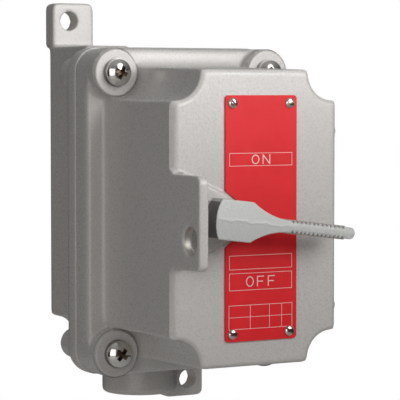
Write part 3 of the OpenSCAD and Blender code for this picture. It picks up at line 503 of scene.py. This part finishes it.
def backWeights(points):  # rounder edges at the back and the hub mouth, not on the lugs
    back = ramp(points[:, 1], *boxLook["backFrom"])
    place = np.maximum(back, near(points[:, 2], hubMouthZ, *boxLook["hubMouth"])) * boxLook["backShare"]
    lugs = ramp(np.abs(points[:, 2]), *boxLook["lugsPastEnd"])
    lugs *= ramp(np.abs(points[:, 0]), *boxLook["lugsPastHub"])
    return place * (1.0 - lugs)


def taperRim(mesh):  # the rear edge of the box flange leans in a little
    points = pointsOf(mesh) / mm
    half, corner = np.array(boxLook["flangeHalf"]), boxLook["flangeCorner"]
    outer = np.maximum(np.abs(points[:, [0, 2]]) - (half - corner), 0.0)
    way = np.sign(points[:, [0, 2]]) * outer / np.maximum(np.linalg.norm(outer, axis=1), 1e-6)[:, None]
    inset = insetOf(points, half, corner)
    backEdge = jointY + boxLook["flangeThick"]
    length = boxLook["rimTaperLength"]
    share = np.clip((points[:, 1] - (backEdge - length)) / length, 0.0, 1.0)
    low, high = boxLook["rimInset"]
    pick = (inset > low) & (inset < high) & (points[:, 1] < backEdge + boxLook["rimSlack"])
    points[:, [0, 2]] -= way * (boxLook["rimTaper"] * share ** 1.5 * pick)[:, None]
    movePoints(mesh, points * mm)


def makeBox():
    mesh = evenSkin(solidOf("back_box"), boxLook["cell"])
    taperRim(mesh)
    easeEdges(mesh, [(boxLook["softEdges"], boxWeights), (boxLook["backCorners"], backWeights)])
    mesh = lighten(mesh, boxLook["faces"])
    piece = addPiece("box_casting", mesh, ["satin_enamel", "cut_aluminium"], "enclosure",
                     ["back_box"])
    boreR = hub["dims"]["r_mm"] + boxLook["boreWear"]
    for face in mesh.polygons:  # the conduit bore is cut after painting
        x, y, z = face.center / mm
        if z < boxLook["boreTop"] and math.hypot(x - hubX, y - hubY) < boreR:
            face.material_index = 1
    evenShade(piece)
    print("box:", len(mesh.polygons), "faces")


leverLook = {
    "cell": 0.2, "faces": 60000, "softEdges": 18, "drop": 7.3, "frontY": -148.0,
    "gripFrom": (23.0, 26.0), "gripSide": (1.6, 2.1), "gripKeep": 0.97,
    "seamRise": 0.12, "seamHalf": 0.5, "seamDepth": 1.8, "seamFrom": (-9.0, -5.0), "seamTo": (18.0, 34.0),
    "seamWaves": [(0.35, 0.55, 0.0), (0.2, 1.3, 1.0)],  # height, radians for each mm, start
    "ridgePitch": 2.05, "ridgeStart": 27.15, "ridgeEnd": 53.8, "ridgeFade": 1.2,
    "grooveSide": (1.0, 2.3), "notch": 0.95, "notchDepth": (1.5, 3.5),
    "dirtAndShadeFrom": 0.55, "tailX": -27.5, "tailFacing": -0.8,
}
shaftAt = placeOf(joints["lever_swing"])


def alongLever(points):  # places along and across the lever
    turn = math.radians(leverLook["drop"])  # it hangs a little below level
    x, z = points[:, 0] - shaftAt[0], points[:, 2] - shaftAt[2]
    return x * math.cos(turn) - z * math.sin(turn), x * math.sin(turn) + z * math.cos(turn)


def leverWeights(points):  # the grip ridges stay, the rest is eased
    along, across = alongLever(points)
    keep = leverLook["gripKeep"] * ramp(along, *leverLook["gripFrom"])
    return 1.0 - keep * ramp(np.abs(across), *leverLook["gripSide"])


def raiseSeam(mesh):  # the two halves of the mould left a faint wandering line
    points = pointsOf(mesh) / mm
    along, across = alongLever(points)
    wander = sum(high * np.sin(rate * along + start) for high, rate, start in leverLook["seamWaves"])
    rise = leverLook["seamRise"] * np.exp(-((across - wander) / leverLook["seamHalf"]) ** 2)
    rise *= ramp(along, *leverLook["seamFrom"]) * (1.0 - ramp(along, *leverLook["seamTo"]))
    points[:, 1] -= np.where(points[:, 1] < leverLook["frontY"] + leverLook["seamDepth"], rise, 0.0)
    movePoints(mesh, points * mm)


def grooveOf(points):  # 1 in the middle of a groove between two ridges
    along, across = alongLever(points)
    start, end, fade = leverLook["ridgeStart"], leverLook["ridgeEnd"], leverLook["ridgeFade"]
    groove = 0.5 - 0.5 * np.cos(2 * np.pi * (along - start) / leverLook["ridgePitch"])
    groove *= ramp(along, start - fade, start)
    groove *= 1.0 - ramp(along, end, end + fade)
    return groove * ramp(np.abs(across), *leverLook["grooveSide"])


def notchGrip(mesh):  # the grooves run on over the front edges of the grip
    points = pointsOf(mesh) / mm
    full, none = (leverLook["frontY"] + depth for depth in leverLook["notchDepth"])
    points[:, 1] += leverLook["notch"] * grooveOf(points) * (1.0 - ramp(points[:, 1], full, none))
    movePoints(mesh, points * mm)


def makeLever():
    mesh = evenSkin(solidOf("operating_lever"), leverLook["cell"])
    easeEdges(mesh, [(leverLook["softEdges"], leverWeights)])
    raiseSeam(mesh)
    notchGrip(mesh)
    mesh = lighten(mesh, leverLook["faces"])
    piece = addPiece("lever_casting", mesh, ["lever_enamel", "lever_tail_painted_shade", "grip_groove_dirt_and_shade"],
                     "operator", ["operating_lever"])
    centres = np.array([face.center for face in mesh.polygons]) / mm
    for face, centre, groove in zip(mesh.polygons, centres, grooveOf(centres)):
        if centre[0] < leverLook["tailX"] and face.normal.x < leverLook["tailFacing"]:
            face.material_index = 1  # painted shade on the end beside the ear, which the ear hides from the light
        elif groove > leverLook["dirtAndShadeFrom"]:
            face.material_index = 2  # and dirt with painted shade in the grooves
    evenShade(piece)
    print("lever:", len(mesh.polygons), "faces")


makeCover()
makeBox()
makeLever()


# a turned form about the Y axis, front towards -Y, from (radius, height) pairs in mm
def turned(profile, sides):
    bm = bmesh.new()
    rings = []
    for radius, height in profile:
        turns = [2 * math.pi * k / sides for k in range(sides if radius > 0.0 else 1)]
        rings.append([bm.verts.new((radius * mm * math.cos(turn), -height * mm, radius * mm * math.sin(turn)))
                      for turn in turns])
    for lower, upper in zip(rings, rings[1:]):
        for k in range(sides):
            corners = [lower[k % len(lower)], lower[(k + 1) % len(lower)],
                       upper[(k + 1) % len(upper)], upper[k % len(upper)]]
            corners = list(dict.fromkeys(corners))  # a point ring gives triangles
            if len(corners) > 2:
                bm.faces.new(corners)
    bmesh.ops.recalc_face_normals(bm, faces=bm.faces)
    return bm


def cutAway(mesh, cutters, sharpAngle=35):
    spare = spareObject(mesh)
    for cutter in cutters:
        cut = spare.modifiers.new("cut", "BOOLEAN")
        cut.operation = "DIFFERENCE"
        cut.solver = "EXACT"
        cut.object = cutter
    made = settle(spare)
    for cutter in cutters:
        bpy.data.objects.remove(cutter)
    made.set_sharp_from_angle(angle=math.radians(sharpAngle))
    return made


def turnedCutter(bm, turn):  # a recess form, turned about the screw; its floor gets the dark recess steel as painted shade
    bmesh.ops.rotate(bm, verts=bm.verts, cent=(0, 0, 0), matrix=Matrix.Rotation(math.radians(turn), 3, "Y"))
    mesh = meshOf(bm, "recess")
    mesh.materials.append(finishes["recess_shade_steel"])
    return spareObject(mesh)


def cornerScrews(nodeName, look, profile, seat, recessOf):  # one screw at each corner of the node's box
    low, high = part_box(nodeName)
    half = look["headD"] / 2 * mm
    pieces = []
    for vertical, z in (("upper", high[2] - half), ("lower", low[2] + half)):
        for side, x in (("left", low[0] + half), ("right", high[0] - half)):
            corner = vertical + "_" + side
            mesh = meshOf(turned(profile, look["sides"]), "screw")
            for finishName in (look["finish"], "recess_shade_steel"):
                mesh.materials.append(finishes[finishName])
            made = cutAway(mesh, recessOf(look["turns"][corner]))
            pieces.append(addPiece(look["name"] + "_" + corner, made, [], "enclosure",
                                   [nodeName], (x, seat, z)))
    return pieces


screwLook = {
    "name": "cover_screw", "finish": "screw_steel", "sides": 64, "burr": 0.12, "burrAngle": 40,
    "headD": 11.8, "headT": 4.2, "crown": 0.6, "crownSteps": (0.86, 0.74, 0.6, 0.45, 0.3, 0.15, 0.0),
    "shankD": 6.3, "shankL": 37.9, "tip": (0.6, 0.9),
    "crossMouth": (7.6, 2.1), "crossFoot": (2.4, 1.302), "crossDepth": 3.1, "crossOver": 0.6,
    "crossFlare": 0.2,
    "turns": {"upper_left": 24, "upper_right": 60, "lower_left": 38, "lower_right": 10},
}


def crossWing(turn):  # one tapered wing of the cross recess
    bm = bmesh.new()
    top, foot = screwLook["headT"] + screwLook["crossOver"], screwLook["headT"] - screwLook["crossDepth"]
    lean = screwLook["crossOver"] / screwLook["crossDepth"]
    span, width = screwLook["crossMouth"]
    mouth = (span + lean, width + screwLook["crossFlare"] * lean)
    corners = []
    for height, (span, width) in ((foot, screwLook["crossFoot"]), (top, mouth)):
        for sx, sz in ((-1, -1), (1, -1), (1, 1), (-1, 1)):
            corners.append(bm.verts.new((sx * span / 2 * mm, -height * mm, sz * width / 2 * mm)))
    for ring in ((0, 1, 2, 3), (4, 5, 6, 7), (0, 1, 5, 4), (1, 2, 6, 5), (2, 3, 7, 6), (3, 0, 4, 7)):
        bm.faces.new([corners[k] for k in ring])
    bmesh.ops.recalc_face_normals(bm, faces=bm.faces)
    return turnedCutter(bm, turn)


def makeCoverScrews():
    half, tall = screwLook["headD"] / 2, screwLook["headT"]
    shank, end = screwLook["shankD"] / 2, -screwLook["shankL"]
    tipIn, tipUp = screwLook["tip"]
    profile = [(0.0, end), (shank - tipIn, end), (shank, end + tipUp), (shank, 0.0), (half - 0.25, 0.0),
               (half, 0.25), (half, 1.0), (0.985 * half, 1.5), (0.94 * half, 2.0)]
    crownRise = screwLook["crown"] * tall
    crownR = (half * half + crownRise * crownRise) / (2 * crownRise)
    for share in screwLook["crownSteps"]:  # the crown of the pan head
        r = share * half
        profile.append((r, tall - (crownR - math.sqrt(crownR * crownR - r * r))))
    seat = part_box("cover_screws")[0][1] + tall * mm
    pieces = cornerScrews("cover_screws", screwLook, profile, seat,
                          lambda turn: [crossWing(turn), crossWing(turn + 90)])
    for piece in pieces:
        breakEdges(piece, screwLook["burr"], screwLook["burrAngle"])
    print("cover screws:", len(pieces))


driveLook = {
    "name": "plate_screw", "finish": "drive_screw_steel", "headD": 4.6, "sides": 40, "brim": 0.12, "steps": 8,
    "slotWidth": 0.8, "slotDepth": 0.75,
    "turns": {"upper_left": 50, "upper_right": -20, "lower_left": 25, "lower_right": 35},
}


def makePlateScrews():
    low, high = cornersOf("nameplate_screws")
    seat = cornersOf("nameplate")[0][1]
    half, brim, steps = driveLook["headD"] / 2, driveLook["brim"], driveLook["steps"]
    tall, tail = seat - low[1], high[1] - seat
    profile = [(0.0, -tail), (0.5 * half, -tail), (0.5 * half, 0.0), (0.96 * half, 0.0), (half, brim * tall)]
    for step in range(1, steps):  # round head
        turn = step / steps * math.pi / 2
        profile.append((half * math.cos(turn), tall * (brim + (1.0 - brim) * math.sin(turn))))
    profile.append((0.0, tall))

    def slotCut(turn):
        bm = bmesh.new()
        bmesh.ops.create_cube(bm, size=1.0)
        size = (3 * half * mm, 2 * driveLook["slotDepth"] * mm, driveLook["slotWidth"] * mm)
        bmesh.ops.scale(bm, verts=bm.verts, vec=size)
        bmesh.ops.translate(bm, verts=bm.verts, vec=(0, -tall * mm, 0))
        return [turnedCutter(bm, turn)]

    pieces = cornerScrews("nameplate_screws", driveLook, profile, seat * mm, slotCut)
    print("plate screws:", len(pieces))


makeCoverScrews()
makePlateScrews()


# print on the plate: flat strokes a hair proud of it, places in mm across the plate
inkLook = {
    "rise": 0.03, "sink": 0.02, "line": 0.19,
    "letterLine": 0.4, "letterWidth": 3.7, "letterGap": 1.6, "ringSides": 28,
    "frames": [(-13.4, 17.2, 22.1, 27.6), (-13.4, 17.2, -21.4, -15.4), (-13.4, 17.2, -30.2, -22.9)],
    "wordsX": 1.9, "words": {"ON": (22.85, 4.0), "OFF": (-28.75, 4.4)},  # foot and height of the letters
    "table": (-13.6, 17.4, -46.6, -36.4), "tableRow": -41.5, "tableColumns": (-3.2, 6.2, 12.2),
}
plateY = cornersOf("nameplate")[0][1]
inkFrontY, inkBackY = plateY - inkLook["rise"], plateY + inkLook["sink"]


def inkPatch(bm, outline):  # one flat patch from its corners
    front = [bm.verts.new((x * mm, inkFrontY * mm, z * mm)) for x, z in outline]
    back = [bm.verts.new((x * mm, inkBackY * mm, z * mm)) for x, z in outline]
    bm.faces.new(front)
    bm.faces.new(back[::-1])
    for k in range(len(outline)):
        n = (k + 1) % len(outline)
        bm.faces.new([front[k], back[k], back[n], front[n]])


def inkBar(bm, x0, x1, z0, z1):
    inkPatch(bm, [(x0, z0), (x1, z0), (x1, z1), (x0, z1)])


def inkFrame(bm, x0, x1, z0, z1):
    line = inkLook["line"]
    inkBar(bm, x0, x1, z0, z0 + line)
    inkBar(bm, x0, x1, z1 - line, z1)
    inkBar(bm, x0, x0 + line, z0 + line, z1 - line)
    inkBar(bm, x1 - line, x1, z0 + line, z1 - line)


def inkRing(bm, x, z, w, h, line):
    rows = []
    for k in range(inkLook["ringSides"]):
        turn = 2 * math.pi * k / inkLook["ringSides"]
        row = []
        for y in (inkFrontY, inkBackY):
            for inset in (0.0, line):
                row.append(bm.verts.new(((x + w / 2 + (w / 2 - inset) * math.cos(turn)) * mm, y * mm,
                                         (z + h / 2 + (h / 2 - inset) * math.sin(turn)) * mm)))
        rows.append(row)
    for a, b in zip(rows, rows[1:] + rows[:1]):
        for m, n in ((0, 1), (1, 3), (3, 2), (2, 0)):
            bm.faces.new([a[m], a[n], b[n], b[m]])


def inkLetter(bm, letter, x, z, w, h, line):  # O, N or F in plain strokes
    if letter == "O":
        inkRing(bm, x, z, w, h, line)
        return
    inkBar(bm, x, x + line, z, z + h)
    if letter == "N":
        left, right, thick = x + line, x + w - line, 1.7 * line
        inkBar(bm, right, x + w, z, z + h)
        inkPatch(bm, [(left, z + h), (left, z + h - thick), (right, z), (right, z + thick)])
    else:
        middle = z + 0.48 * h
        inkBar(bm, x + line, x + 0.92 * w, z + h - line, z + h)
        inkBar(bm, x + line, x + 0.78 * w, middle - line / 2, middle + line / 2)


def inkWord(bm, word, foot, height):
    width, gap = inkLook["letterWidth"], inkLook["letterGap"]
    x = inkLook["wordsX"] - (len(word) * width + (len(word) - 1) * gap) / 2
    for letter in word:
        inkLetter(bm, letter, x, foot, width, height, inkLook["letterLine"])
        x += width + gap


def inkTable(bm):
    x0, x1, z0, z1 = inkLook["table"]
    row, line = inkLook["tableRow"], inkLook["line"]
    inkFrame(bm, x0, x1, z0, z1)
    inkBar(bm, x0 + line, x1 - line, row - line / 2, row + line / 2)
    for x in inkLook["tableColumns"]:
        for foot, head in ((z0 + line, row - line / 2), (row + line / 2, z1 - line)):
            inkBar(bm, x - line / 2, x + line / 2, foot, head)


def makePrint():
    bm = bmesh.new()
    for outline in inkLook["frames"]:
        inkFrame(bm, *outline)
    for word, (foot, height) in inkLook["words"].items():
        inkWord(bm, word, foot, height)
    inkTable(bm)
    bmesh.ops.recalc_face_normals(bm, faces=bm.faces)
    mesh = meshOf(bm, "plate_print")
    addPiece("plate_print", mesh, ["pale_ink"], "enclosure")
    print("plate print:", len(mesh.polygons), "faces")


makePrint()


# thread ridge in the conduit hub
threadLook = {"pitch": 1.81, "turns": 10, "steps": 40, "start": 0.9, "runOut": 20,
              "wallR": 12.62, "rootR": 12.2, "depth": 0.75, "crest": 0.12, "flank": 0.62}


def makeThread():
    bm = bmesh.new()
    rows = []
    steps, runOut = threadLook["steps"], threadLook["runOut"]
    wall, crest, flank = threadLook["wallR"], threadLook["crest"], threadLook["flank"]
    total = threadLook["turns"] * steps
    for k in range(total + 1):
        angle = 2 * math.pi * k / steps
        z = hubMouthZ + threadLook["start"] + threadLook["pitch"] * k / steps
        top = threadLook["rootR"] - threadLook["depth"] * min(1.0, k / runOut, (total - k) / runOut)
        row = []
        for radius, rise in ((wall, -flank), (top, -crest), (top, crest), (wall, flank)):
            x, y = hubX + radius * math.cos(angle), hubY + radius * math.sin(angle)
            row.append(bm.verts.new((x * mm, y * mm, (z + rise) * mm)))
        rows.append(row)
    for lower, upper in zip(rows, rows[1:]):
        for k in range(len(lower)):
            n = (k + 1) % len(lower)
            bm.faces.new([lower[k], lower[n], upper[n], upper[k]])
    bm.faces.new(rows[0])
    bm.faces.new(rows[-1][::-1])
    bmesh.ops.recalc_face_normals(bm, faces=bm.faces)
    addPiece("hub_thread", meshOf(bm, "hub_thread"), ["cut_aluminium"], "enclosure")
    print("hub thread made")


makeThread()


# crisp small pieces get a broken edge
brokenEdges = {"nameplate": 0.15, "lever_pin": 0.2, "operator_shaft": 0.25, "lock_washers": 0.15}
brokenAngle = 50
for nodeName, width in brokenEdges.items():
    breakEdges(cadNodes[nodeName], width, brokenAngle)
print("edges broken")


# stage in metres: pale floor well below, soft light, camera where the photograph was taken
stageLook = {"floorZ": -0.36, "floorHalf": 1.0, "floorGlow": 0.5, "glowColour": (1.0, 0.995, 0.985, 1.0),
             "skyLow": 0.02, "skyTop": 0.36, "skyColour": (0.98, 0.99, 1.0, 1.0)}
lampLook = {
    "key": {"place": (0.122, -0.431, 0.311), "way": (-0.45, 0.86, -0.066), "size": (0.29, 0.50),
            "spread": 104.0, "power": 1.06, "colour": (1.0, 0.998, 0.99), "gleam": True},
    "left_panel": {"place": (-0.667, -0.81, 0.087), "way": (0.667, 0.74, -0.087), "size": (0.74, 0.74),
                   "spread": 170.0, "power": 2.4, "colour": (1.0, 0.972, 0.95), "gleam": True},
    "back_panel": {"place": (0.56, 0.955, -0.062), "way": (-0.547, -1.009, 0.066), "size": (0.3, 0.3),
                   "spread": 50.0, "power": 1.1, "colour": (1.0, 0.98, 0.965), "gleam": False},
}
cameraLook = {"lens": 177.17, "sensor": 36.0, "place": (-0.41696, -0.84357, 0.05467),
              "target": (0.01344, -0.054, 0.00363), "clip": (0.05, 50.0)}


def aim(holder, way):
    holder.rotation_euler = Vector(way).to_track_quat("-Z", "Y").to_euler()


def makeFloor():
    mesh = bpy.data.meshes.new("floor")
    half, z = stageLook["floorHalf"], stageLook["floorZ"]
    corners = [(-half, -half, z), (half, -half, z), (half, half, z), (-half, half, z)]
    mesh.from_pydata(corners, [], [(0, 1, 2, 3)])
    floor = bpy.data.objects.new("floor", mesh)
    bpy.context.scene.collection.objects.link(floor)
    tree = finishes["pale_floor"].node_tree  # kept pale in the pictures without throwing light up on the part
    shader = tree.nodes["Principled BSDF"]
    seen = tree.nodes.new("ShaderNodeLightPath").outputs["Is Camera Ray"]
    shader.inputs["Emission Color"].default_value = stageLook["glowColour"]
    glow = spread(tree, seen, 0.0, stageLook["floorGlow"], 0.0, 1.0)
    tree.links.new(glow, shader.inputs["Emission Strength"])
    mesh.materials.append(finishes["pale_floor"])


def makeLamp(name, look):
    lamp = bpy.data.lights.new(name, "AREA")
    lamp.shape = "RECTANGLE"
    lamp.size, lamp.size_y = look["size"]
    lamp.spread = math.radians(look["spread"])
    lamp.energy = look["power"]
    lamp.color = look["colour"]
    holder = bpy.data.objects.new(name, lamp)
    holder.location = look["place"]
    holder.visible_glossy = look["gleam"]  # the one behind only lifts the shade
    aim(holder, look["way"])
    bpy.context.scene.collection.objects.link(holder)


def makeSky():
    world = bpy.data.worlds.new("studio")
    world.use_nodes = True
    tree = world.node_tree
    tree.nodes.clear()
    seen = addNode(tree, "ShaderNodeBackground", Color=(1.0, 1.0, 1.0, 1.0), Strength=1.0)
    lit = addNode(tree, "ShaderNodeBackground", Color=stageLook["skyColour"])
    way = tree.nodes.new("ShaderNodeSeparateXYZ")  # brightest overhead
    tree.links.new(tree.nodes.new("ShaderNodeTexCoord").outputs["Generated"], way.inputs["Vector"])
    strength = spread(tree, way.outputs["Z"], stageLook["skyLow"], stageLook["skyTop"], 0.0, 1.0)
    tree.links.new(strength, lit.inputs["Strength"])
    path = tree.nodes.new("ShaderNodeLightPath")
    mix = tree.nodes.new("ShaderNodeMixShader")
    end = tree.nodes.new("ShaderNodeOutputWorld")
    tree.links.new(path.outputs["Is Camera Ray"], mix.inputs["Fac"])
    tree.links.new(lit.outputs["Background"], mix.inputs[1])
    tree.links.new(seen.outputs["Background"], mix.inputs[2])
    tree.links.new(mix.outputs["Shader"], end.inputs["Surface"])
    bpy.context.scene.world = world


def makeCamera():
    data = bpy.data.cameras.new("camera")
    data.sensor_width = cameraLook["sensor"]
    data.lens = cameraLook["lens"]
    data.clip_start, data.clip_end = cameraLook["clip"]
    camera = bpy.data.objects.new("camera", data)
    camera.location = cameraLook["place"]
    aim(camera, Vector(cameraLook["target"]) - Vector(cameraLook["place"]))
    bpy.context.scene.collection.objects.link(camera)
    bpy.context.scene.camera = camera


makeFloor()
makeSky()
for lampName, look in lampLook.items():
    makeLamp(lampName, look)
makeCamera()
bpy.context.scene.view_settings.view_transform = "Standard"
print("stage set")
